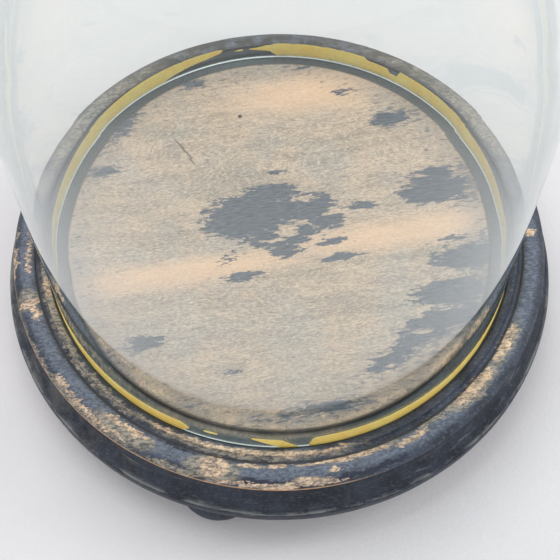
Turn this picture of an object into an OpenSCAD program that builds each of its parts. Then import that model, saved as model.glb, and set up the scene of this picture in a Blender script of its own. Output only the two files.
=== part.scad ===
// Bell jar dome: a blown glass dome standing on a round turned wooden base
// with bun feet. The dome stands in a seat between the raised platform and the
// moulded rim of the board, and lifts straight off.
// Units are millimetres. +Z is up, z = 0 is the table, one foot points to -Y.

/* [Glass dome] */
// Outer diameter of the straight glass wall
dome_d = 204; // [120:2:300]
// Thickness of the glass
glass_wall = 1.5; // [1.2:0.1:5]
// Height of the straight wall, from the foot of the glass to the round top
dome_straight_h = 195; // [60:5:400]

/* [Gilt band] */
// Height of the band's top edge above the foot of the glass
band_top_h = 9.5; // [4:0.1:20]
// Height of the band's lower edge above the foot of the glass
band_low_h = 0.9; // [0.8:0.1:4]
// Thickness of the band
band_wall = 0.3; // [0.2:0.05:1]

/* [Platform] */
// Gap between the platform's edge and the inside of the glass
platform_gap = 5.5; // [1:0.1:8]
// Height of the platform's face above the glass seat
platform_rise = 2.5; // [1:0.5:10]
// Depth that the platform is let into the board
platform_inset = 2.5; // [1:0.5:6]
// Rounding of the platform's top edge
platform_round = 0.8; // [0.2:0.1:2]

/* [Board] */
// Height of the glass seat above the table
seat_z = 42; // [30:0.5:60]
// Thickness of the board below the glass seat
board_t = 11; // [8:0.5:20]
// Gap between the outside of the glass and the ridge around it, wider than the band
seat_gap = 1.2; // [0.6:0.1:3]
// Outer radius of the board's bead
bead_r = 118.9; // [80:0.1:180]
// Radius of the quirk, the cut line inside the bead
quirk_r = 108.8; // [70:0.1:170]
// Radius of the bead's rounding
bead_curve = 9.5; // [8:0.5:20]
// Height that the lip's underside lies below the glass seat
lip_drop = 3; // [0:0.5:6]
// Height of the plain lip below the bead
lip_h = 0.8; // [0.4:0.1:3]

/* [Plinth] */
// Outer radius of the plinth's foot band
plinth_r = 124.5; // [85:0.5:190]
// Inner radius of the plinth ring
plinth_inner_r = 86; // [60:1:150]
// Radius of the neck below the bead
neck_r = 115.5; // [75:0.5:175]
// Height of the plinth's foot band
foot_band_h = 7; // [3:0.5:12]
// Rounding of the foot band's edges
foot_band_round = 2; // [0.5:0.5:3]

/* [Feet] */
// Number of bun feet
foot_count = 3; // [3:1:4]
// Height of a foot below the plinth
foot_h = 16.5; // [8:0.5:25]
// Largest radius of a foot
foot_r = 18; // [12:0.5:25]
// Distance of the feet from the middle
foot_ring_r = 106.5; // [70:0.5:160]
// Radius of a foot's round tenon
tenon_r = 7; // [4:0.5:9]
// Length of a foot's round tenon
tenon_l = 9; // [6:0.5:11]

/* [Screws] */
// Number of screws that hold the plinth ring to the board
plinth_screw_count = 6; // [3:1:12]
// Length of those screws
plinth_screw_l = 21; // [14:0.5:22]
// Number of screws that hold the platform to the board
platform_screw_count = 4; // [3:1:8]
// Length of those screws
platform_screw_l = 12; // [10:0.5:12]
// Distance of the platform's screws from the middle
platform_screw_ring_r = 68; // [30:1:75]
// Radius of a screw's shank
screw_r = 1.9; // [1.2:0.1:2.5]

/* [Hidden] */
$fn = 96;

fit_gap = 0.1;          // glue line round a spigot or a tenon
screw_gap = 0.05;       // clearance round a screw
head_r = screw_r * 1.9; // a countersunk head
head_h = screw_r * 1.1;
slot_w = 0.7;           // a screw's slot
slot_depth = 0.8;

dome_r = dome_d / 2;
glass_z = seat_z + 0.05;                // foot of the glass, a hair above its seat
dome_inner_r = dome_r - glass_wall;
dome_top_z = glass_z + dome_straight_h; // where the round top starts
rim_round = glass_wall / 2;             // the polished foot of the glass

platform_r = dome_inner_r - platform_gap;
platform_z = seat_z + platform_rise;
platform_floor_z = seat_z - platform_inset;

board_z = seat_z - board_t;             // underside of the board
seat_outer_r = dome_r + seat_gap;
ridge_z = seat_z + 2.6;                 // top of the ridge round the glass
quirk_z = seat_z + 0.4;                 // bottom of the quirk
quirk_curve = 2.6;                      // the cove that falls to the quirk
lip_z = seat_z - lip_drop;              // underside of the lip
bead_half = 7.3;                        // from the bead's edge to the middle of its rounding
bead_mid_r = bead_r - bead_half;
bead_mid_z = lip_z + lip_h - sqrt(bead_curve * bead_curve - bead_half * bead_half);
spigot_r = 111;                         // the board's lower part, inside the plinth

plinth_z = foot_h;                      // underside of the plinth ring
band_z = plinth_z + foot_band_h;        // top of the foot band
cove_start_z = lip_z - 2;               // the neck is plain above this height
cove_end_r = plinth_r - 2.2;            // the cove meets the foot band here
cove_out = cove_end_r - neck_r;
cove_drop = cove_start_z - band_z;
cove_r = (cove_out * cove_out + cove_drop * cove_drop) / (2 * cove_out);

plinth_screw_ring_r = 98;
foot_angles = [-90, 30, 150];
foot_curve = foot_h / 2;                // a foot is as round as it is high
tenon_hole = tenon_l + 0.5;
socket_r = tenon_r + fit_gap;

// a round cornered strip, in radius and height
module soft_rect(r0, r1, z0, z1, soft) {
    translate([r0, z0 + soft]) square([r1 - r0, z1 - z0 - 2 * soft]);
    translate([r0, z0]) square([r1 - r0 - soft, z1 - z0]);
    translate([r1 - soft, z0 + soft]) circle(r = soft);
    translate([r1 - soft, z1 - soft]) circle(r = soft);
}

// the same, rounded only at its top edge
module soft_top_rect(r0, r1, z0, z1, soft) {
    translate([r0, z0]) square([r1 - r0, z1 - z0 - soft]);
    translate([r0, z0]) square([r1 - r0 - soft, z1 - z0]);
    translate([r1 - soft, z1 - soft]) circle(r = soft);
}

// a quarter of the dome's round top, in radius and height
module quarter_disc(r) {
    intersection() {
        translate([0, dome_top_z]) circle(r = r);
        translate([0, dome_top_z]) square([r + 1, r + 1]);
    }
}

module glass_dome() {
    color([0.86, 0.93, 0.92, 0.35])
    rotate_extrude() {
        translate([dome_inner_r, glass_z + rim_round])
            square([glass_wall, dome_straight_h - rim_round]);
        translate([dome_r - rim_round, glass_z + rim_round]) circle(r = rim_round);
        difference() {
            quarter_disc(dome_r);
            quarter_disc(dome_inner_r);
        }
    }
}

module gilt_band() {
    color([0.83, 0.66, 0.27])
    rotate_extrude()
        translate([dome_r, glass_z + band_low_h])
            square([band_wall, band_top_h - band_low_h]);
}

// a countersunk wood screw standing on its head, its point up
module wood_screw(length) {
    shank_l = length - head_h - 2 * screw_r;
    difference() {
        union() {
            cylinder(h = head_h, r1 = head_r, r2 = screw_r);
            translate([0, 0, head_h]) cylinder(h = shank_l, r = screw_r);
            translate([0, 0, head_h + shank_l]) cylinder(h = 2 * screw_r, r1 = screw_r, r2 = 0.2);
        }
        translate([-head_r - 1, -slot_w / 2, -1]) cube([2 * head_r + 2, slot_w, slot_depth + 1]);
    }
}

// the hole that such a screw fills
module screw_hole(length) {
    translate([0, 0, -0.01]) cylinder(h = head_h, r1 = head_r + screw_gap, r2 = screw_r + screw_gap);
    cylinder(h = length + screw_gap, r = screw_r + screw_gap);
}

module ring_of(count, radius, turn = 0) {
    for (i = [0 : count - 1])
        rotate([0, 0, turn + i * 360 / count]) translate([radius, 0, 0]) children();
}

module platform_disc() {
    color([0.63, 0.52, 0.42])
    difference() {
        rotate_extrude()
            soft_top_rect(0, platform_r, platform_floor_z, platform_z, platform_round);
        ring_of(platform_screw_count, platform_screw_ring_r, 45)
            translate([0, 0, board_z]) screw_hole(platform_screw_l);
    }
}

// the low bead on the board's edge, its rounding cut off above the lip
module bead_profile() {
    intersection() {
        translate([bead_mid_r, bead_mid_z]) circle(r = bead_curve);
        translate([quirk_r, lip_z]) square([bead_r - quirk_r, bead_curve]);
    }
}

// the ridge that keeps the glass in its seat, falling to the quirk in a cove
module ridge_profile() {
    difference() {
        translate([seat_outer_r, seat_z - 1]) square([quirk_r - seat_outer_r, ridge_z - seat_z + 1]);
        translate([quirk_r, quirk_z + quirk_curve]) circle(r = quirk_curve);
    }
}

module base_board() {
    color([0.17, 0.18, 0.19])
    difference() {
        rotate_extrude() {
            translate([0, board_z]) square([spigot_r - fit_gap, board_t]);
            ridge_profile();
            bead_profile();
        }
        translate([0, 0, platform_floor_z])
            cylinder(h = platform_inset + 1, r = platform_r + fit_gap);
        ring_of(platform_screw_count, platform_screw_ring_r, 45)
            translate([0, 0, board_z]) screw_hole(platform_screw_l);
        ring_of(plinth_screw_count, plinth_screw_ring_r)
            translate([0, 0, plinth_z]) screw_hole(plinth_screw_l);
    }
}

module plinth_ring() {
    color([0.13, 0.14, 0.15])
    difference() {
        rotate_extrude() {
            soft_rect(plinth_inner_r, plinth_r, plinth_z, band_z, foot_band_round);
            translate([plinth_inner_r, plinth_z]) square([10, board_z - plinth_z]);
            difference() {
                translate([plinth_inner_r, band_z - 1])
                    square([cove_end_r - plinth_inner_r, lip_z - band_z + 1]);
                translate([neck_r + cove_r, cove_start_z]) circle(r = cove_r);
                translate([neck_r, cove_start_z]) square([cove_out + 1, lip_z - cove_start_z + 1]);
                translate([plinth_inner_r - 1, board_z])
                    square([spigot_r - plinth_inner_r + 1, lip_z - board_z + 1]);
            }
        }
        ring_of(foot_count, foot_ring_r, foot_angles[0])
            translate([0, 0, plinth_z - 1]) cylinder(h = tenon_hole + 1, r = socket_r);
        ring_of(plinth_screw_count, plinth_screw_ring_r)
            translate([0, 0, plinth_z]) screw_hole(plinth_screw_l);
    }
}

// one turned bun foot with its tenon, on the table at the middle
module bun_foot() {
    color([0.12, 0.12, 0.12]) {
        rotate_extrude() {
            square([foot_r - foot_curve, foot_h]);
            intersection() {
                translate([foot_r - foot_curve, foot_curve]) circle(r = foot_curve);
                translate([foot_r - foot_curve, 0]) square([foot_curve + 1, foot_h]);
            }
            square([tenon_r, foot_h + tenon_l]);
        }
    }
}

module foot_at(angle) {
    rotate([0, 0, angle]) translate([foot_ring_r, 0, 0]) bun_foot();
}

module foot_front() {
    foot_at(foot_angles[0]);
}

module foot_right() {
    foot_at(foot_angles[1]);
}

module foot_left() {
    foot_at(foot_angles[2]);
}

module plinth_screws() {
    color([0.5, 0.49, 0.47])
    ring_of(plinth_screw_count, plinth_screw_ring_r)
        translate([0, 0, plinth_z]) wood_screw(plinth_screw_l);
}

module platform_screws() {
    color([0.5, 0.49, 0.47])
    ring_of(platform_screw_count, platform_screw_ring_r, 45)
        translate([0, 0, board_z]) wood_screw(platform_screw_l);
}

glass_dome();
gilt_band();
platform_disc();
base_board();
plinth_ring();
foot_front();
foot_right();
foot_left();
plinth_screws();
platform_screws();
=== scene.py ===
"""Bell jar dome: a blown glass dome on an old ebonised base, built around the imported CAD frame."""

import math

import bmesh
import bpy
from mathutils import Matrix, Vector, noise


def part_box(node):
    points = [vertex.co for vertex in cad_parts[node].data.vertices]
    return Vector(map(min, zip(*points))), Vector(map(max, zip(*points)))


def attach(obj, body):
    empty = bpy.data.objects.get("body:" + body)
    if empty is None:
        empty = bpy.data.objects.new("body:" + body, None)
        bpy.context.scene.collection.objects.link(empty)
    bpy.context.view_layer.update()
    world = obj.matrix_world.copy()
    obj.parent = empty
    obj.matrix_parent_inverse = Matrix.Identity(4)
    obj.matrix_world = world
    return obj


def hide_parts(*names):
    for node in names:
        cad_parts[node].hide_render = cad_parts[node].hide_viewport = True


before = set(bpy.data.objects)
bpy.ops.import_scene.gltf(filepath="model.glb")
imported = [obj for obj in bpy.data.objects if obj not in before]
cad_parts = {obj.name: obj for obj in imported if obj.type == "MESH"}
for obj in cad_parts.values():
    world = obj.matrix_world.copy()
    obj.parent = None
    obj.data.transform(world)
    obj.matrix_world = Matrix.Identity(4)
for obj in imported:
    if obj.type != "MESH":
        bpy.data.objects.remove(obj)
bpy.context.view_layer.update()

MM = 0.001
# The wear, the grain, the lights and the camera are laid out seen from the front: azimuth -90
# faces the camera. This is how far that frame is turned from the part's own.
VIEW_TURN = math.radians(14.5)

# ---------------------------------------------------------------- sizes, from the CAD nodes


def outer_radius(node):
    low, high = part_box(node)
    return max(high.x, -low.x, high.y, -low.y) / MM


def low_z(node):
    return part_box(node)[0].z / MM


def high_z(node):
    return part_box(node)[1].z / MM


GLASS_R = outer_radius("glass_dome")
GLASS_FOOT = low_z("glass_dome")
GLASS_TOP = high_z("glass_dome")
BAND_LOW = low_z("gilt_band")
BAND_HIGH = high_z("gilt_band")
PLATFORM_R = outer_radius("platform_disc")
PLATFORM_Z = high_z("platform_disc")
PLATFORM_FLOOR = low_z("platform_disc")
BEAD_R = outer_radius("base_board")
BOARD_LOW = low_z("base_board")
PLINTH_R = outer_radius("plinth_ring")
PLINTH_LOW = low_z("plinth_ring")
LIP_Z = high_z("plinth_ring")

# Sizes and angles that no node's box gives, the same as in the part's source.
GLASS_WALL = 1.5
FIT_GAP = 0.1
SEAT_Z = GLASS_FOOT - 0.05
LIP_H = 0.8
RIDGE_R = GLASS_R + 1.2
RIDGE_Z = SEAT_Z + 2.6
QUIRK_R = 108.8
QUIRK_Z = SEAT_Z + 0.4
QUIRK_CURVE = 2.6
BEAD_CURVE = 9.5
BEAD_HALF = 7.3
SPIGOT_R = 111.0
PLINTH_INNER_R = 86.0
NECK_R = 115.5
FOOT_BAND_H = 7.0
FOOT_BAND_ROUND = 2.0
FOOT_RING_R = 106.5
FOOT_R = 18.0
TENON_R = 7.0
TENON_L = 9.0
FOOT_ANGLES = {"foot_front": -90, "foot_right": 30, "foot_left": 150}

# The gilding stands off the glass by a hair, so that the two don't share a face.
BAND_GAP = 0.04
BAND_THICK = 0.12
# The circle that the pale blue band on the bead is centred on: dust, and a painted sheen of the light on the
# bead's top.
SHEEN_CROWN_R = 112.8

# The camera that was fitted to the photo, laid out from the front: its place in metres and its
# angles in degrees.
CAMERA_PLACE = (0.0, -0.2513, 0.4479)
CAMERA_DOWN = 60.82
CAMERA_YAW = 0.06
CAMERA_ROLL = -0.66
CAMERA_LENS = 68.27
# Every lamp is turned to this place, in metres.
LIGHT_TARGET = (0.0, 0.0, 0.05)
# The floor lies a hair under the feet, in metres.
FLOOR_DROP = 0.0002

# ---------------------------------------------------------------- shader building


class Tree:
    """A short way to write a material's node tree."""

    def __init__(self, name):
        self.material = bpy.data.materials.new(name)
        self.material.use_nodes = True
        self.nodes = self.material.node_tree.nodes
        self.links = self.material.node_tree.links
        self.nodes.clear()
        self.output = self.nodes.new("ShaderNodeOutputMaterial")

    def put(self, socket, value):
        """Sets an input to a number or a colour, or links it."""
        if isinstance(value, bpy.types.NodeSocket):
            self.links.new(value, socket)
        else:
            socket.default_value = value

    def math(self, operation, a, b=0.0, c=0.0):
        node = self.nodes.new("ShaderNodeMath")
        node.operation = operation
        for socket, value in zip(node.inputs, (a, b, c)):
            self.put(socket, value)
        return node.outputs[0]

    def vector(self, operation, a, b=(0.0, 0.0, 0.0), c=(0.0, 0.0, 0.0)):
        node = self.nodes.new("ShaderNodeVectorMath")
        node.operation = operation
        for socket, value in zip(node.inputs, (a, b, c)):
            self.put(socket, value)
        return node.outputs["Value" if operation in ("LENGTH", "DOT_PRODUCT") else "Vector"]

    def dot(self, a, b):
        return self.vector("DOT_PRODUCT", a, b)

    def place(self, vector, turn, scale, kind="POINT"):
        node = self.nodes.new("ShaderNodeMapping")
        node.vector_type = kind
        self.put(node.inputs["Vector"], vector)
        node.inputs["Rotation"].default_value = (0.0, 0.0, turn)
        node.inputs["Scale"].default_value = scale
        return node.outputs[0]

    def split(self, vector):
        node = self.nodes.new("ShaderNodeSeparateXYZ")
        self.put(node.inputs[0], vector)
        return node.outputs

    def join(self, x, y, z):
        node = self.nodes.new("ShaderNodeCombineXYZ")
        for socket, value in zip(node.inputs, (x, y, z)):
            self.put(socket, value)
        return node.outputs[0]

    def noise(self, vector, scale, detail, rough, colour=False):
        node = self.nodes.new("ShaderNodeTexNoise")
        self.put(node.inputs["Vector"], vector)
        node.inputs["Scale"].default_value = scale
        node.inputs["Detail"].default_value = detail
        node.inputs["Roughness"].default_value = rough
        return node.outputs["Color" if colour else "Fac"]

    def smooth(self, value, low, high, to_low=0.0, to_high=1.0):
        node = self.nodes.new("ShaderNodeMapRange")
        node.interpolation_type = "SMOOTHSTEP"
        for name, amount in (
            ("Value", value),
            ("From Min", low),
            ("From Max", high),
            ("To Min", to_low),
            ("To Max", to_high),
        ):
            self.put(node.inputs[name], amount)
        return node.outputs[0]

    def ramp(self, value, stops):
        node = self.nodes.new("ShaderNodeValToRGB")
        elements = node.color_ramp.elements
        while len(elements) < len(stops):
            elements.new(0.5)
        for element, (position, colour) in zip(elements, stops):
            element.position = position
            element.color = (*colour, 1.0)
        self.put(node.inputs[0], value)
        return node.outputs[0]

    def mix(self, factor, a, b):
        node = self.nodes.new("ShaderNodeMix")
        node.data_type = "RGBA"
        node.clamp_factor = True
        colours = [s for s in node.inputs if s.type == "RGBA"]
        self.put(node.inputs[0], factor)
        for socket, value in zip(colours, (a, b)):
            self.put(socket, value if isinstance(value, bpy.types.NodeSocket) else (*value, 1.0))
        return next(s for s in node.outputs if s.type == "RGBA")

    def tint(self, colour, amount, strength, other):
        """The colour, turned towards the other one by amount times strength."""
        return self.mix(self.math("MULTIPLY", amount, strength), colour, other)

    def near(self, value, centre, far, close):
        """1 where the value is within close of the centre, falling to 0 at far."""
        gap = self.math("ABSOLUTE", self.math("SUBTRACT", value, centre))
        return self.smooth(gap, far, close)

    def jitter(self, texture, reach):
        """A coloured noise as a shove either way, of up to half of reach."""
        centred = self.vector("SUBTRACT", texture, (0.5, 0.5, 0.5))
        return self.vector("MULTIPLY", centred, reach)

    def bump(self, height, distance, strength):
        node = self.nodes.new("ShaderNodeBump")
        node.inputs["Strength"].default_value = strength
        node.inputs["Distance"].default_value = distance
        self.put(node.inputs["Height"], height)
        return node.outputs[0]

    def object_mm(self):
        """The object's own coordinates in millimetres, turned so that azimuth -90 is the front."""
        node = self.nodes.new("ShaderNodeTexCoord")
        scale = (1 / MM, 1 / MM, 1 / MM)
        return self.place(node.outputs["Object"], -VIEW_TURN, scale)

    def principled(self, **values):
        node = self.nodes.new("ShaderNodeBsdfPrincipled")
        for name, value in values.items():
            socket = node.inputs[name.replace("_", " ")]
            if socket.type == "RGBA" and not isinstance(value, bpy.types.NodeSocket):
                value = (*value, 1.0)
            self.put(socket, value)
        return node.outputs[0]

    def blend(self, factor, a, b):
        """A Mix Shader."""
        node = self.nodes.new("ShaderNodeMixShader")
        for socket, value in zip(node.inputs, (factor, a, b)):
            self.put(socket, value)
        return node.outputs[0]

    def finish(self, shader):
        self.links.new(shader, self.output.inputs["Surface"])
        return self.material


# ---------------------------------------------------------------- materials


def clear_glass():
    """Old blown glass, faintly green. Lamps shine through it without caustics."""
    t = Tree("clear_glass")
    node = t.nodes.new("ShaderNodeBsdfGlass")
    node.inputs["Color"].default_value = (0.985, 1.0, 0.995, 1.0)
    node.inputs["Roughness"].default_value = 0.0
    node.inputs["IOR"].default_value = 1.5
    clear = t.nodes.new("ShaderNodeBsdfTransparent")
    clear.inputs["Color"].default_value = (0.93, 0.95, 0.94, 1.0)
    path = t.nodes.new("ShaderNodeLightPath").outputs
    shadow = t.blend(path["Is Shadow Ray"], node.outputs[0], clear.outputs[0])
    return t.finish(t.blend(path["Is Diffuse Ray"], shadow, clear.outputs[0]))


def ground_glass_painted_highlight():
    """The dome's foot, matt and near white: ground glass, and a painted highlight standing in for the line of
    light on its rounded rim.
    """
    t = Tree("ground_glass_painted_highlight")
    grit = t.noise(t.object_mm(), 2.0, 3.0, 0.6)
    shader = t.principled(
        Base_Color=t.mix(grit, (0.93, 0.96, 0.98), (0.99, 1.0, 1.0)),
        Transmission_Weight=0.15,
        Roughness=0.30,
        Normal=t.bump(grit, 0.0001, 0.4),
    )
    return t.finish(shader)


def gilding():
    """Rubbed gold leaf that lets some light through, darker where its size shows."""
    t = Tree("gilding")
    p = t.object_mm()
    cloud = t.noise(p, 0.10, 4.0, 0.6)
    speck = t.noise(p, 1.6, 3.0, 0.6)
    gold = t.mix(t.smooth(cloud, 0.35, 0.65), (1.0, 0.79, 0.26), (1.0, 0.87, 0.37))
    worn = t.smooth(speck, 0.50, 0.66)
    colour = t.tint(gold, worn, 0.45, (0.76, 0.57, 0.30))
    dull = t.smooth(t.noise(p, 0.35, 5.0, 0.75), 0.48, 0.66)
    colour = t.tint(colour, dull, 0.35, (0.86, 0.72, 0.48))
    rough = t.smooth(speck, 0.3, 0.7, 0.36, 0.55)
    leaf = t.principled(
        Base_Color=colour,
        Metallic=0.05,
        Roughness=rough,
        Normal=t.bump(speck, 0.00008, 0.5),
    )
    glow = t.nodes.new("ShaderNodeBsdfTranslucent")
    t.put(glow.inputs["Color"], colour)
    return t.finish(t.blend(0.5, leaf, glow.outputs[0]))


def grain_space(t, p, angle, stretch):
    """Coordinates whose noise runs in long streaks along the grain."""
    return t.place(p, math.radians(angle), (stretch, 1.0, 1.0), kind="TEXTURE")


def wood_colour(t, p):
    """Dry bare wood, washed grey over peach, with short fibres. Returns colour and height."""
    drift = t.jitter(t.noise(p, 0.02, 2.0, 0.5, colour=True), (12.0, 12.0, 12.0))
    bent = t.vector("ADD", p, drift)
    broad = t.noise(grain_space(t, bent, 9, 5.0), 0.085, 4.0, 0.6)
    streak = t.noise(grain_space(t, bent, 9, 8.0), 0.70, 5.0, 0.70)
    fibre = t.noise(grain_space(t, bent, 10, 3.2), 1.7, 4.0, 0.75)
    cross = t.noise(grain_space(t, p, 80, 3.0), 0.85, 3.0, 0.6)
    wash = t.noise(p, 0.035, 5.0, 0.6)
    base = t.ramp(
        broad,
        (
            (0.30, (0.27, 0.215, 0.165)),
            (0.43, (0.39, 0.29, 0.215)),
            (0.52, (0.50, 0.36, 0.26)),
            (0.62, (0.37, 0.275, 0.21)),
            (0.74, (0.47, 0.325, 0.23)),
        ),
    )
    grey = t.smooth(wash, 0.42, 0.62)
    base = t.tint(base, grey, 0.50, (0.305, 0.285, 0.265))
    dark = t.smooth(streak, 0.48, 0.64)
    base = t.tint(base, dark, 0.45, (0.19, 0.16, 0.135))
    light = t.smooth(fibre, 0.50, 0.62)
    base = t.tint(base, light, 0.50, (0.76, 0.59, 0.43))
    pore = t.smooth(fibre, 0.47, 0.37)
    base = t.tint(base, pore, 0.55, (0.13, 0.11, 0.095))
    base = t.mix(t.smooth(cross, 0.55, 0.75, 0.0, 0.18), base, (0.26, 0.23, 0.20))
    height = t.math("MULTIPLY_ADD", fibre, 0.6, t.math("MULTIPLY", streak, 0.4))
    return base, height


# The larger patches of old paint left on the platform, by slant in degrees: x, y, half length
# and half width in whole millimetres. Noise tears their edges and strews the small bits.
PAINT = {
    10: (
        (-14, 8, 19, 11), (-4, 20, 12, 5), (12, 13, 14, 7), (2, -3, 17, 5), (38, 13, 7, 2), (22, 5, 8, 4),
        (3, -10, 6, 4), (24, -6, 6, 2), (27, -14, 8, 2), (-16, -23, 9, 2), (-1, 31, 4, 1), (54, 59, 9, 4),
        (72, 21, 16, 7), (70, 30, 11, 3), (84, -15, 16, 6), (74, -32, 16, 6), (77, -5, 6, 1), (-81, 33, 6, 2),
        (-41, 82, 4, 2), (31, 76, 3, 2), (13, 92, 3, 1), (-57, -55, 7, 3), (16, -85, 14, 2), (-19, -68, 3, 1),
    ),
    30: ((63, -49, 15, 6), (47, -63, 12, 4), (80, -42, 8, 4)),
    60: ((-73, 58, 9, 3), (-22, -14, 5, 1)),
}
# Bare gaps in them.
GAPS = {
    10: (
        (4, 0, 6, 3), (12, 17, 5, 2), (22, 9, 5, 1), (-3, -5, 5, 1), (17, -3, 4, 1), (64, 29, 4, 1),
        (74, -23, 9, 2), (60, -51, 6, 1),
    )
}
# Laid out the same way: warm streaks in the wood, a pin hole drawn as a dark spot of painted shade, and a
# scratch 1 mm wide.
WARM_STREAKS = {9: ((-42, -21, 60, 7), (58, -1, 55, 8), (14, 76, 40, 14))}
PIN_HOLE = {0: ((-18, 62, 1, 1),)}
SCRATCH = {-50: ((-44, 42, 9, 0.5),)}


def nearest(t, p, groups):
    """How far p is from the nearest of some ellipses: 1 on an edge, less inside."""
    best = None
    for slant, patches in groups.items():
        c, s = math.cos(math.radians(slant)), math.sin(math.radians(slant))
        along = t.dot(p, (c, s, 0.0))
        over = t.dot(p, (-s, c, 0.0))
        turned = t.join(along, over, 0.0)
        for x, y, half_length, half_width in patches:
            stretch = (1 / half_length, 1 / half_width, 0.0)
            middle = (-(c * x + s * y) / half_length, (s * x - c * y) / half_width, 0.0)
            reach = t.vector("LENGTH", t.vector("MULTIPLY_ADD", turned, stretch, middle))
            best = reach if best is None else t.math("MINIMUM", best, reach)
    return best


def bare_wood():
    """The platform: bare dry wood with flakes of the old black paint, jagged along the grain."""
    t = Tree("bare_wood")
    p = t.object_mm()
    flat = t.vector("MULTIPLY", p, (1.0, 1.0, 0.0))
    base, height = wood_colour(t, p)

    coarse = t.noise(grain_space(t, flat, 8, 4.2), 0.55, 3.0, 0.6, colour=True)
    fine = t.noise(grain_space(t, flat, 8, 2.6), 1.5, 3.0, 0.6, colour=True)
    shift = t.jitter(coarse, (24.0, 3.0, 0.0))
    shiver = t.jitter(fine, (8.0, 1.8, 0.0))
    ragged = t.vector("ADD", flat, t.vector("ADD", shift, shiver))
    teeth = t.noise(grain_space(t, flat, 9, 2.8), 0.50, 6.0, 0.78)
    tear = t.math("MULTIPLY_ADD", teeth, 1.7, -0.85)
    edge = t.math("ADD", nearest(t, ragged, PAINT), tear)
    gap = t.math("ADD", nearest(t, ragged, GAPS), tear)
    paint = t.math("MULTIPLY", t.smooth(edge, 1.08, 1.02), t.smooth(gap, 0.90, 1.0))

    # bits of paint and dirt caught all over, more of them towards the rim
    radius = t.vector("LENGTH", flat)
    bits = t.noise(grain_space(t, flat, 9, 3.2), 0.62, 4.0, 0.7)
    bits_from = t.smooth(radius, 62.0, PLATFORM_R, 0.70, 0.57)
    bits_from = t.math("SUBTRACT", bits_from, t.smooth(edge, 2.4, 1.3, 0.0, 0.10))
    speckle = t.smooth(t.math("SUBTRACT", bits, bits_from), 0.0, 0.03)
    paint = t.math("MAXIMUM", paint, t.math("MULTIPLY", speckle, 0.72))

    # warm streaks, and the wood darker towards the rim
    warm = t.smooth(nearest(t, ragged, WARM_STREAKS), 1.5, 0.2)
    base = t.tint(base, warm, 0.55, (0.86, 0.53, 0.33))
    dusk = t.smooth(radius, 78.0, 93.0)
    base = t.tint(base, dusk, 0.42, (0.27, 0.22, 0.18))
    # a painted shadow: a near-black ring on the platform's top at its edge, for the shade in the gap beside
    # the board
    edge_gap_shadow = t.smooth(radius, PLATFORM_R - 1.3, PLATFORM_R - 0.5)
    base = t.tint(base, edge_gap_shadow, 0.75, (0.07, 0.055, 0.045))

    brush = t.smooth(t.noise(grain_space(t, flat, 9, 6.0), 1.3, 4.0, 0.72), 0.36, 0.64)
    slate = t.mix(brush, (0.034, 0.040, 0.052), (0.098, 0.110, 0.130))
    colour = t.mix(paint, base, slate)
    scratch = t.smooth(nearest(t, flat, SCRATCH), 1.3, 0.7)
    colour = t.tint(colour, scratch, 0.75, (0.07, 0.065, 0.06))
    # painted shade: the pin hole is a dark disc in the colour, not a hole in the mesh
    pin_hole_shade = t.smooth(nearest(t, flat, PIN_HOLE), 1.15, 0.85)
    colour = t.mix(pin_hole_shade, colour, (0.03, 0.022, 0.016))
    side = t.smooth(t.split(p)[2], PLATFORM_Z - 0.5, PLATFORM_Z - 1.1)
    colour = t.mix(side, colour, (0.045, 0.050, 0.060))
    rough = t.math("MULTIPLY_ADD", paint, -0.16, 0.72)
    shader = t.principled(
        Base_Color=colour,
        Roughness=rough,
        Specular_IOR_Level=0.35,
        Normal=t.bump(height, 0.00022, 0.8),
    )
    return t.finish(shader)


# Where the board's black paint is rubbed through to the wood, by azimuth and half width in whole
# degrees, and radius and half width to the half millimetre: (azimuth, radius, degrees, millimetres).
BARE = (
    (-172, 112, 3, 1), (-173, 118, 4, 1), (-162, 114, 1, 5), (-159, 112, 2, 1.5), (-142, 116, 2, 1.5),
    (-132, 116.5, 9, 1), (-124, 112, 6, 1.5), (-104, 113, 3, 4.5), (-96, 110.5, 3, 1), (-90, 117.5, 13, 1),
    (-84, 116.5, 4, 1.5), (-85, 110, 3, 0.5), (-91, 110, 2, 1), (-176, 111, 2, 0.5), (-79, 113.5, 1, 1),
    (-75, 110, 8, 1), (-62, 112, 4, 1.5), (-44, 111, 6, 2.5), (-31, 111, 5, 2), (-1, 112, 1, 3),
    (-164, 105, 3, 1), (-98, 105.5, 24, 1),
)
# Where it is only thin and dusty.
THIN = (
    (-163, 114, 3, 5), (-139, 118, 20, 1), (-112, 118, 6, 1), (-44, 112, 8, 3.5), (-31, 112, 7, 3),
    (-104, 114, 6, 5), (-124, 114, 8, 3.5), (-136, 106, 19, 1.5), (-158, 105, 14, 2.5), (-98, 106, 27, 2),
    (-74, 110, 10, 1.5), (-54, 110, 6, 1.5), (-178, 111, 3, 1), (-180, 118, 2, 1),
    (-222, 113, 26, 4), (42, 114, 26, 4),
)
# Unworn, nearly black streaks in it.
DEEP = ((-97, 116, 6, 1), (-72, 117, 8, 1), (-112, 110, 5, 0.5))


def from_front(t, x, y):
    """The azimuth in degrees, -90 in front, with its seam behind."""
    angle = t.math("ARCTAN2", x, t.math("MULTIPLY", y, -1.0))
    return t.math("MULTIPLY_ADD", angle, 180 / math.pi, -90.0)


def black_paint(t, p):
    """Old ebonised paint: blue-black, finely crazed, lighter where dust and rubbing dull it."""
    tone = t.noise(p, 0.09, 4.0, 0.6)
    fine = t.noise(grain_space(t, p, 5, 2.2), 1.1, 4.0, 0.7)
    colour = t.mix(t.smooth(tone, 0.35, 0.65), (0.018, 0.022, 0.032), (0.046, 0.056, 0.082))
    dust = t.smooth(fine, 0.50, 0.72)
    colour = t.tint(colour, dust, 0.62, (0.16, 0.18, 0.22))
    rough = t.smooth(fine, 0.3, 0.75, 0.34, 0.58)
    return colour, rough, fine


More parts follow.
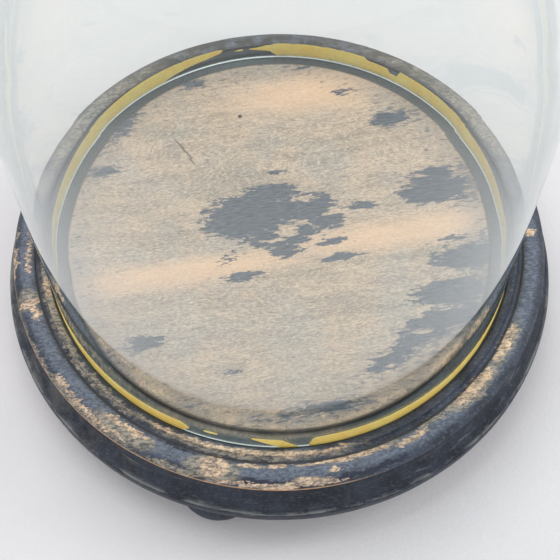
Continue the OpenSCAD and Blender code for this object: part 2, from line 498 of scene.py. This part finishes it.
def worn_wood(t, p, fine):
    """The wood where the paint is rubbed through: tan, dry, dirty in its pores."""
    cloud = t.noise(p, 0.22, 4.0, 0.65)
    colour = t.mix(t.smooth(cloud, 0.35, 0.65), (0.43, 0.32, 0.23), (0.74, 0.53, 0.365))
    dirt = t.smooth(fine, 0.48, 0.58)
    colour = t.tint(colour, dirt, 0.78, (0.13, 0.115, 0.105))
    grime = t.smooth(t.noise(p, 2.4, 2.0, 0.7), 0.54, 0.62)
    colour = t.tint(colour, grime, 0.6, (0.10, 0.09, 0.085))
    return t.mix(t.smooth(fine, 0.46, 0.34, 0.0, 0.4), colour, (0.82, 0.68, 0.50))


def ebonised_board():
    """The board's moulded rim: black paint rubbed through on the bead, the lip and the ridge."""
    t = Tree("ebonised_board")
    p = t.object_mm()
    z = t.split(p)[2]
    flat = t.vector("MULTIPLY", p, (1.0, 1.0, 0.0))
    radius = t.vector("LENGTH", flat)
    coarse = t.noise(grain_space(t, flat, 3, 3.4), 0.42, 3.0, 0.6, colour=True)
    small = t.noise(grain_space(t, flat, 3, 2.2), 1.3, 3.0, 0.65, colour=True)
    shift = t.jitter(coarse, (9.0, 4.2, 0.0))
    shiver = t.jitter(small, (3.6, 1.9, 0.0))
    ragged = t.vector("ADD", flat, t.vector("ADD", shift, shiver))
    parts = t.split(ragged)
    polar = t.join(from_front(t, parts[0], parts[1]), t.vector("LENGTH", ragged), 0.0)

    jag = t.noise(grain_space(t, p, 4, 2.4), 0.9, 5.0, 0.7)
    rub = t.math("MULTIPLY_ADD", jag, 0.9, -0.45)
    bare_at = t.math("ADD", nearest(t, polar, {0: BARE}), rub)
    thin_at = t.math("ADD", nearest(t, polar, {0: THIN}), rub)
    deep_at = t.math("ADD", nearest(t, polar, {0: DEEP}), t.math("MULTIPLY", rub, 1.4))
    bare = t.smooth(bare_at, 1.04, 0.96)
    thin = t.smooth(thin_at, 1.15, 0.80)
    deep = t.smooth(deep_at, 1.10, 0.90)

    # light wear all round: rubbed specks, and the lip's arris bare on the worn side
    around = from_front(t, *t.split(p)[:2])
    seen = t.near(around, -128.0, 62.0, 46.0)
    lip = t.smooth(z, LIP_Z + LIP_H + 0.45, LIP_Z + LIP_H - 0.1)
    lip = t.math("MULTIPLY", lip, t.smooth(radius, BEAD_R - 1.0, BEAD_R - 0.4))
    lip = t.math("MULTIPLY", lip, seen)
    scatter = t.noise(grain_space(t, p, 4, 2.0), 0.75, 4.0, 0.75)
    flecks = t.math("MULTIPLY", t.smooth(scatter, 0.70, 0.73), 0.8)
    bare = t.math("MAXIMUM", bare, t.math("MAXIMUM", t.math("MULTIPLY", lip, 0.9), flecks))

    paint, rough, fine = black_paint(t, p)
    tone = t.noise(p, 0.16, 4.0, 0.65)
    # a paler blue band round the top of the bead: partly dust, partly a painted sheen of light
    crown_dust_and_sheen = t.near(radius, SHEEN_CROWN_R, 4.6, 1.2)
    crown_dust_and_sheen = t.math("MULTIPLY", crown_dust_and_sheen, t.smooth(fine, 0.38, 0.62, 0.30, 0.95))
    paint = t.tint(paint, crown_dust_and_sheen, 0.85, (0.165, 0.190, 0.245))
    navy = t.mix(fine, (0.010, 0.012, 0.022), (0.035, 0.042, 0.070))
    paint = t.mix(deep, paint, navy)
    tan = worn_wood(t, p, fine)
    tan = t.tint(tan, lip, 0.75, (0.60, 0.31, 0.12))
    dusty = t.mix(t.smooth(jag, 0.42, 0.58), (0.10, 0.095, 0.085), (0.36, 0.31, 0.245))
    colour = t.tint(paint, thin, 0.85, dusty)
    colour = t.mix(bare, colour, tan)
    # painted shade: the back of the rim is darkened in mottled patches, and roughened, to damp the sheen of
    # the window light there
    back = t.smooth(t.split(p)[1], 60.0, 105.0)
    behind = t.math("MULTIPLY", back, t.smooth(tone, 0.36, 0.58, 0.15, 0.95))
    colour = t.mix(behind, colour, (0.034, 0.031, 0.027))
    # painted shade: a near-black line down in the quirk, the hollow between the ridge and the bead
    quirk_painted_shade = t.near(radius, QUIRK_R - 0.1, 0.9, 0.2)
    colour = t.tint(colour, quirk_painted_shade, 0.85, (0.028, 0.024, 0.022))
    seat = t.smooth(radius, RIDGE_R + 0.4, RIDGE_R - 0.4)
    slate = t.mix(t.noise(p, 0.5, 4.0, 0.6), (0.040, 0.048, 0.050), (0.105, 0.120, 0.125))
    colour = t.mix(seat, colour, slate)
    rough = t.math("MULTIPLY_ADD", bare, 0.28, rough)
    relief = t.math("MULTIPLY_ADD", jag, 0.8, t.math("MULTIPLY", fine, 0.6))
    shader = t.principled(
        Base_Color=colour,
        Roughness=t.math("MULTIPLY_ADD", behind, 0.25, rough),
        Specular_IOR_Level=0.32,
        Normal=t.bump(relief, 0.0004, 1.0),
    )
    return t.finish(shader)


def ebonised_plinth():
    """The plinth and the feet: near-black paint, grey where it flares out and along the foot band's top edge:
    partly scuffs, partly a painted sheen of light.
    """
    t = Tree("ebonised_plinth")
    p = t.object_mm()
    x, y, z = t.split(p)
    paint, rough, fine = black_paint(t, p)
    at = from_front(t, x, y)
    turned = t.join(t.math("MULTIPLY", at, 0.11), t.math("MULTIPLY", z, 0.5), 0.0)
    streaks = t.noise(turned, 1.0, 6.0, 0.72)
    cloud = t.noise(p, 0.12, 5.0, 0.65)
    band_z = PLINTH_LOW + FOOT_BAND_H
    # grey on the turn of the flare and on the foot band's top arris: scuffs, and a painted sheen where these
    # faces catch the light; the grey at the bottom edge is wear
    below_cove = t.smooth(z, band_z + 8, band_z + 2)
    flare = t.math("MULTIPLY", below_cove, t.smooth(z, PLINTH_LOW + 2, PLINTH_LOW + 6))
    scuff_and_sheen = t.math("MULTIPLY", t.smooth(streaks, 0.56, 0.68), flare)
    upper = t.near(z, band_z - 0.5, 0.6, 0.1)
    edge = t.math("MULTIPLY", upper, t.smooth(streaks, 0.46, 0.58))
    lower = t.near(z, PLINTH_LOW + 1.0, 0.9, 0.2)
    foot = t.math("MULTIPLY", lower, t.smooth(streaks, 0.50, 0.62))
    grey = t.math("MAXIMUM", t.math("MULTIPLY", scuff_and_sheen, 0.7), t.math("MAXIMUM", edge, foot))
    left = t.near(at, -158.0, 58.0, 8.0)
    dusty = t.math("MULTIPLY", left, t.smooth(cloud, 0.38, 0.66))
    paint = t.mix(0.45, paint, (0.010, 0.011, 0.016))
    colour = t.tint(paint, dusty, 0.40, (0.15, 0.145, 0.14))
    colour = t.tint(colour, grey, 0.65, (0.24, 0.25, 0.24))
    chips = t.noise(p, 0.55, 3.0, 0.8)
    colour = t.mix(t.smooth(chips, 0.75, 0.775, 0.0, 0.8), colour, (0.42, 0.37, 0.30))
    rough = t.math("MULTIPLY_ADD", grey, 0.2, rough)
    shader = t.principled(
        Base_Color=colour,
        Roughness=rough,
        Specular_IOR_Level=0.24,
        Normal=t.bump(fine, 0.00015, 0.7),
    )
    return t.finish(shader)


def raw_wood():
    """The unpainted underside: brown with age, saw marks and dust in the grain."""
    t = Tree("raw_underside")
    p = t.object_mm()
    base, height = wood_colour(t, p)
    aged = t.mix(0.55, base, (0.20, 0.13, 0.075))
    dust = t.smooth(t.noise(p, 0.05, 4.0, 0.6), 0.4, 0.7)
    colour = t.tint(aged, dust, 0.35, (0.36, 0.30, 0.24))
    shader = t.principled(
        Base_Color=colour,
        Roughness=0.78,
        Specular_IOR_Level=0.3,
        Normal=t.bump(height, 0.0003, 0.8),
    )
    return t.finish(shader)


def screw_steel():
    """Old screws: dull steel browned with rust."""
    t = Tree("screw_steel")
    p = t.object_mm()
    rust = t.noise(p, 0.9, 4.0, 0.65)
    colour = t.mix(t.smooth(rust, 0.42, 0.62), (0.34, 0.32, 0.30), (0.20, 0.10, 0.05))
    shader = t.principled(
        Base_Color=colour,
        Metallic=t.smooth(rust, 0.42, 0.62, 0.95, 0.25),
        Roughness=t.smooth(rust, 0.35, 0.65, 0.35, 0.75),
        Normal=t.bump(rust, 0.0001, 0.6),
    )
    return t.finish(shader)


def pale_cloth():
    """The pale ground: a plain, very soft pile."""
    t = Tree("pale_floor")
    p = t.object_mm()
    cloud = t.noise(p, 0.012, 3.0, 0.55)
    pile = t.noise(p, 0.5, 3.0, 0.6)
    colour = t.mix(cloud, (0.60, 0.58, 0.59), (0.69, 0.67, 0.68))
    shader = t.principled(Base_Color=colour, Roughness=0.9, Normal=t.bump(pile, 0.0006, 0.35))
    return t.finish(shader)


# ---------------------------------------------------------------- mesh building


def arc(centre, radius, start, end, steps):
    """Points on a circle, from one angle to another in degrees."""
    points = []
    for i in range(steps + 1):
        angle = math.radians(start + (end - start) * i / steps)
        points.append((centre[0] + radius * math.cos(angle), centre[1] + radius * math.sin(angle)))
    return points


def softened(points, radius, steps=4):
    """The same outline with its corners rounded off, at most radius deep."""
    made = []
    for before, here, after in zip([points[-1]] + points[:-1], points, points[1:] + [points[0]]):
        back = Vector(before) - Vector(here)
        on = Vector(after) - Vector(here)
        reach = min(radius, back.length * 0.45, on.length * 0.45)
        sharp = back.length > 1e-6 and on.length > 1e-6 and abs(back.angle(on)) < math.radians(160)
        if here[0] < 0.01 or not sharp or reach < 0.05:
            made.append(tuple(here))
            continue
        start = Vector(here) + back.normalized() * reach
        end = Vector(here) + on.normalized() * reach
        for i in range(steps + 1):
            s = i / steps
            bend = start * (1 - s) ** 2 + Vector(here) * 2 * s * (1 - s) + end * s * s
            made.append(tuple(bend))
    return made


def refined(points, longest):
    """The same outline with its long sides cut up."""
    made = []
    for here, after in zip(points, points[1:] + [points[0]]):
        gap = math.dist(here, after)
        cuts = max(1, math.ceil(gap / longest))
        for i in range(cuts):
            s = i / cuts
            made.append((here[0] + (after[0] - here[0]) * s, here[1] + (after[1] - here[1]) * s))
    return made


def add_object(name, mesh, materials):
    ob = bpy.data.objects.new(name, mesh)
    bpy.context.scene.collection.objects.link(ob)
    for material in materials:
        mesh.materials.append(material)
    return ob


def lathe(name, outline, materials, segments, shape=None, pick=None):
    """Turns a closed outline of (radius, height) in millimetres round the Z axis.

    shape(radius, height, azimuth) may move a point, and pick(radius, height) chooses
    the material slot of a face from its middle."""
    bm = bmesh.new()
    rows = []
    for radius, height in outline:
        if radius < 1e-4:
            rows.append([bm.verts.new((0.0, 0.0, height * MM))] * segments)
            continue
        row = []
        for i in range(segments):
            azimuth = 2 * math.pi * i / segments
            r, h = shape(radius, height, azimuth) if shape else (radius, height)
            row.append(bm.verts.new((r * MM * math.cos(azimuth), r * MM * math.sin(azimuth), h * MM)))
        rows.append(row)
    for j in range(len(rows)):
        here, above = rows[j], rows[(j + 1) % len(rows)]
        if here[0] is here[1] and above[0] is above[1]:
            continue
        (r0, z0), (r1, z1) = outline[j], outline[(j + 1) % len(outline)]
        slot = pick((r0 + r1) / 2, (z0 + z1) / 2) if pick else 0
        for i in range(segments):
            k = (i + 1) % segments
            corners = [here[i], here[k], above[k], above[i]]
            face = bm.faces.new(list(dict.fromkeys(corners)))
            face.smooth = True
            face.material_index = slot
    bmesh.ops.recalc_face_normals(bm, faces=bm.faces)
    mesh = bpy.data.meshes.new(name)
    bm.to_mesh(mesh)
    bm.free()
    return add_object(name, mesh, materials)


def wobble(radius, height, azimuth, size, seed):
    """A smooth random number at a place on a turned surface."""
    x = radius * math.cos(azimuth)
    y = radius * math.sin(azimuth)
    return noise.noise(Vector((x / size, y / size, height / size + seed)))


# ---------------------------------------------------------------- pieces


def glass_outline():
    """The dome's wall in section: up the outside from the foot, and down the inside."""
    rows = 48
    dome_steps = 44
    rim = GLASS_WALL / 2
    rim_z = GLASS_FOOT + rim
    shoulder = GLASS_TOP - GLASS_R
    start = GLASS_FOOT + 2.0
    outside = [(GLASS_R, rim_z), (GLASS_R, rim_z + 0.2)]
    outside += [(GLASS_R, start + (shoulder - start) * i / rows) for i in range(rows)]
    outside += arc((0, shoulder), GLASS_R, 0, 90, dome_steps)
    inner = GLASS_R - GLASS_WALL
    inside = arc((0, shoulder), inner, 90, 0, dome_steps)
    inside += [(inner, shoulder - (shoulder - rim_z) * i / rows) for i in range(1, rows + 1)]
    foot = arc((GLASS_R - rim, rim_z), rim, -170, -10, 8)
    # a point that is nearly on the axis is put on it
    return [(0.0 if r < 0.01 else r, z) for r, z in outside + inside + foot]


def blown(radius, height, azimuth):
    """Blown glass is never quite true: slow swells, a little different inside and out."""
    inside = radius < GLASS_R - GLASS_WALL * 0.6 and height < GLASS_TOP - GLASS_R
    fade = min(1.0, max(0.0, (height - GLASS_FOOT - 12) / 40))
    swell = 0.16 * wobble(radius, height, azimuth, 85, 3.0)
    ripple = 0.012 * wobble(radius, height, azimuth, 26, 9.0 if inside else 5.0)
    return radius * (1 + fade * (swell + ripple) / GLASS_R), height


def glass_dome():
    # The foot's faces take the near-white ground glass, a painted highlight along the rim.
    def foot_face(radius, height):
        return 1 if height < GLASS_FOOT + GLASS_WALL * 0.55 else 0

    skins = [clear_glass(), ground_glass_painted_highlight()]
    piece = lathe("dome_glass", glass_outline(), skins, segments=288, shape=blown, pick=foot_face)
    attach(piece, "dome")
    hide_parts("glass_dome")


# The torn stretches of the gilt band: azimuth in whole degrees, and the low and top edge of what
# is left in tenths of the band's height. Nothing is left where the two edges meet.
TORN = (
    (-113, 0, 10), (-111, 6, 6), (-108, 8, 8), (-107, 7, 9), (-105, 7, 9), (-104, 8, 8), (-97, 10, 10),
    (-96, 8, 10), (-90, 0, 9), (-86, 0, 0), (-84, 0, 0), (-83, 0, 8), (-82, 0, 10), (54, 0, 10), (55, 0, 5),
    (57, 0, 5), (58, 0, 8), (64, 0, 8), (65, 0, 10), (90, 0, 10), (92, 4, 9), (97, 6, 7), (98, 7, 7),
    (99, 7, 7), (100, 6, 8), (103, 7, 7), (105, 9, 9), (106, 7, 10), (110, 5, 10), (117, 3, 10), (123, 0, 10),
)


def band_edges(azimuth):
    """The low and the top edge of the band at an azimuth, as shares of its height."""
    degrees = (math.degrees(azimuth) + 180) % 360 - 180
    place = Vector((math.cos(azimuth) * 9, math.sin(azimuth) * 9, 0.0))
    rough = 0.05 * noise.fractal(place * 2, 1.0, 2.0, 5) + 0.02 * noise.noise(place * 9)
    for before, after in zip(TORN, TORN[1:]):
        if before[0] <= degrees <= after[0]:
            share = (degrees - before[0]) / (after[0] - before[0])
            low = (before[1] + (after[1] - before[1]) * share) / 10
            top = (before[2] + (after[2] - before[2]) * share) / 10
            return max(0.0, low + max(0.0, rough)), min(1.0, top + min(0.0, rough * 1.3))
    return 0.0, 1.0


def gilt_band():
    """A thin strip on the outside of the glass, torn and flaked away in places."""
    columns = 2160
    near = GLASS_R + BAND_GAP
    far = near + BAND_THICK
    height = BAND_HIGH - BAND_LOW
    bm = bmesh.new()
    rings = []
    for i in range(columns):
        azimuth = 2 * math.pi * i / columns
        low, top = band_edges(azimuth)
        if top - low < 0.03:
            rings.append(None)
            continue
        turned = azimuth + VIEW_TURN
        ring = []
        for radius, share in ((near, low), (far, low), (far, top), (near, top)):
            r = radius * MM
            z = (BAND_LOW + height * share) * MM
            ring.append(bm.verts.new((r * math.cos(turned), r * math.sin(turned), z)))
        rings.append(ring)
    for i in range(columns):
        here, after = rings[i], rings[(i + 1) % columns]
        if here and not after and not rings[i - 1]:
            bmesh.ops.delete(bm, geom=here, context="VERTS")
            rings[i] = None
            continue
        if here and after:
            for a in range(4):
                b = (a + 1) % 4
                bm.faces.new((here[a], after[a], after[b], here[b]))
        if here and not after:
            bm.faces.new(here)
        if after and not here:
            bm.faces.new(after)
    bmesh.ops.recalc_face_normals(bm, faces=bm.faces)
    mesh = bpy.data.meshes.new("gilding_strip")
    bm.to_mesh(mesh)
    bm.free()
    piece = add_object("gilding_strip", mesh, [gilding()])
    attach(piece, "dome")
    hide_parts("gilt_band")


def hand_turned(radius, height, azimuth):
    """Small dents and hollows that age leaves on turned wood."""
    hollow = 0.10 * wobble(radius, height, azimuth, 16, 2.0)
    dent = min(hollow + 0.05 * wobble(radius, height, azimuth, 4.5, 7.0), 0.0)
    return radius + dent, height + dent * 0.6


def platform():
    outline = [
        (0.0, PLATFORM_FLOOR),
        (PLATFORM_R, PLATFORM_FLOOR),
        (PLATFORM_R, PLATFORM_Z),
        (0.0, PLATFORM_Z),
    ]
    outline = refined(softened(outline, 0.9), 4.0)
    piece = lathe("platform", outline, [bare_wood()], segments=256)
    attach(piece, "base")
    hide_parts("platform_disc")


def board_outline():
    bead_mid = (BEAD_R - BEAD_HALF, LIP_Z + LIP_H - math.sqrt(BEAD_CURVE**2 - BEAD_HALF**2))
    start = math.degrees(math.acos((QUIRK_R - bead_mid[0]) / BEAD_CURVE))
    end = math.degrees(math.acos((BEAD_R - bead_mid[0]) / BEAD_CURVE))
    cove_start = 180 + math.degrees(math.asin((QUIRK_Z + QUIRK_CURVE - RIDGE_Z) / QUIRK_CURVE))
    outline = [
        (0.0, PLATFORM_FLOOR),
        (PLATFORM_R + FIT_GAP, PLATFORM_FLOOR),
        (PLATFORM_R + FIT_GAP, SEAT_Z),
        (RIDGE_R, SEAT_Z),
        (RIDGE_R, RIDGE_Z),
    ]
    outline += arc((QUIRK_R, QUIRK_Z + QUIRK_CURVE), QUIRK_CURVE, cove_start, 268, 10)
    outline += [(QUIRK_R, QUIRK_Z)]
    outline += arc(bead_mid, BEAD_CURVE, start, end, 28)
    outline += [
        (BEAD_R, LIP_Z),
        (SPIGOT_R - FIT_GAP, LIP_Z),
        (SPIGOT_R - FIT_GAP, BOARD_LOW),
        (0.0, BOARD_LOW),
    ]
    return refined(softened(outline, 0.45), 3.0)


def board():
    def underside(radius, height):
        return 1 if radius < SPIGOT_R + 1 and height < BOARD_LOW + 1 else 0

    def aged(radius, height, azimuth):
        moulded = radius > RIDGE_R - 0.5 and height > LIP_Z + 0.1
        return hand_turned(radius, height, azimuth) if moulded else (radius, height)

    piece = lathe(
        "moulded_board",
        board_outline(),
        [ebonised_board(), raw_wood()],
        segments=384,
        shape=aged,
        pick=underside,
    )
    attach(piece, "base")
    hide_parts("base_board")


def plinth_outline():
    band_z = PLINTH_LOW + FOOT_BAND_H
    cove_start_z = LIP_Z - 2
    cove_end_r = PLINTH_R - 2.2
    out, drop = cove_end_r - NECK_R, cove_start_z - band_z
    curve = (out * out + drop * drop) / (2 * out)
    end = 180 + math.degrees(math.asin(drop / curve))
    outline = [
        (PLINTH_INNER_R, PLINTH_LOW),
        (PLINTH_INNER_R, BOARD_LOW),
        (SPIGOT_R, BOARD_LOW),
        (SPIGOT_R, LIP_Z),
        (NECK_R, LIP_Z),
    ]
    outline += arc((NECK_R + curve, cove_start_z), curve, 180, end, 20)
    edge_r = PLINTH_R - FOOT_BAND_ROUND
    outline += arc((edge_r, band_z - FOOT_BAND_ROUND), FOOT_BAND_ROUND, 80, 0, 6)
    outline += arc((edge_r, PLINTH_LOW + FOOT_BAND_ROUND), FOOT_BAND_ROUND, 0, -90, 8)
    return refined(softened(outline, 0.3, 2), 3.0)


def plinth():
    def inner_face(radius, height):
        return 1 if radius < PLINTH_R - 8 and height < BOARD_LOW + 0.5 else 0

    def aged(radius, height, azimuth):
        outside = radius > NECK_R and PLINTH_LOW + 0.2 < height < LIP_Z - 1
        return hand_turned(radius, height, azimuth) if outside else (radius, height)

    piece = lathe(
        "moulded_plinth",
        plinth_outline(),
        [ebonised_plinth(), raw_wood()],
        segments=384,
        shape=aged,
        pick=inner_face,
    )
    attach(piece, "base")
    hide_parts("plinth_ring")


def foot_outline():
    curve = PLINTH_LOW / 2
    outline = [(0.0, 0.0)]
    outline += arc((FOOT_R - curve, curve), curve, -90, 90, 24)
    tenon_top = PLINTH_LOW + TENON_L
    outline += [(TENON_R, PLINTH_LOW), (TENON_R, tenon_top), (0.0, tenon_top)]
    return refined(softened(outline, 0.3, 2), 3.0)


def bun_foot(node, azimuth, material):
    piece = lathe("bun_" + node, foot_outline(), [material], segments=96)
    turn = math.radians(azimuth)
    ring = FOOT_RING_R * MM
    piece.data.transform(Matrix.Translation((ring * math.cos(turn), ring * math.sin(turn), 0.0)))
    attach(piece, "base")
    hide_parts(node)


def feet():
    material = ebonised_plinth()
    for node, azimuth in FOOT_ANGLES.items():
        bun_foot(node, azimuth, material)


def screws():
    material = screw_steel()
    for node in ("plinth_screws", "platform_screws"):
        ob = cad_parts[node]
        ob.data.materials.clear()
        ob.data.materials.append(material)


# ---------------------------------------------------------------- stage, light and camera


def floor():
    bm = bmesh.new()
    bmesh.ops.create_grid(bm, x_segments=8, y_segments=8, size=3.0)
    mesh = bpy.data.meshes.new("floor")
    bm.to_mesh(mesh)
    bm.free()
    ob = add_object("floor", mesh, [pale_cloth()])
    ob.location = (0, 0, -FLOOR_DROP)


def soft_light(name, place, size, power, colour):
    light = bpy.data.lights.new(name, "AREA")
    light.shape = "RECTANGLE"
    light.size, light.size_y = size
    light.energy = power
    light.color = colour
    ob = bpy.data.objects.new(name, light)
    bpy.context.scene.collection.objects.link(ob)
    spot = Matrix.Rotation(VIEW_TURN, 4, "Z") @ Vector(place)
    ob.location = spot
    ob.rotation_euler = (Vector(LIGHT_TARGET) - spot).to_track_quat("-Z", "Y").to_euler()


def studio():
    world = bpy.data.worlds.new("studio")
    bpy.context.scene.world = world
    world.use_nodes = True
    back = world.node_tree.nodes["Background"]
    back.inputs["Color"].default_value = (0.94, 0.97, 1.0, 1.0)
    back.inputs["Strength"].default_value = 0.80
    soft_light("window", (-0.45, 0.75, 1.8), (1.8, 1.4), 24, (1.0, 0.985, 0.97))
    soft_light("side_window", (1.5, 0.35, 0.9), (0.5, 1.1), 9, (0.92, 0.97, 1.0))
    soft_light("room", (0.25, -1.7, 1.3), (1.6, 0.9), 6.5, (0.97, 0.98, 1.0))


def camera():
    data = bpy.data.cameras.new("camera")
    data.sensor_width = 36.0
    data.lens = CAMERA_LENS
    data.clip_start = 0.01
    ob = bpy.data.objects.new("camera", data)
    bpy.context.scene.collection.objects.link(ob)
    turn = Matrix.Rotation(VIEW_TURN, 4, "Z")
    ob.location = turn @ Vector(CAMERA_PLACE)
    down = math.radians(CAMERA_DOWN)
    yaw = math.radians(CAMERA_YAW)
    level_part = math.cos(down)
    look = turn @ Vector((math.sin(yaw) * level_part, math.cos(yaw) * level_part, -math.sin(down)))
    level = look.to_track_quat("-Z", "Y").to_matrix().to_4x4()
    ob.rotation_euler = (level @ Matrix.Rotation(math.radians(CAMERA_ROLL), 4, "Z")).to_euler()
    bpy.context.scene.camera = ob


# ---------------------------------------------------------------- the scene

bpy.context.scene.view_settings.view_transform = "Standard"
glass_dome()
gilt_band()
platform()
board()
plinth()
feet()
screws()
floor()
studio()
camera()
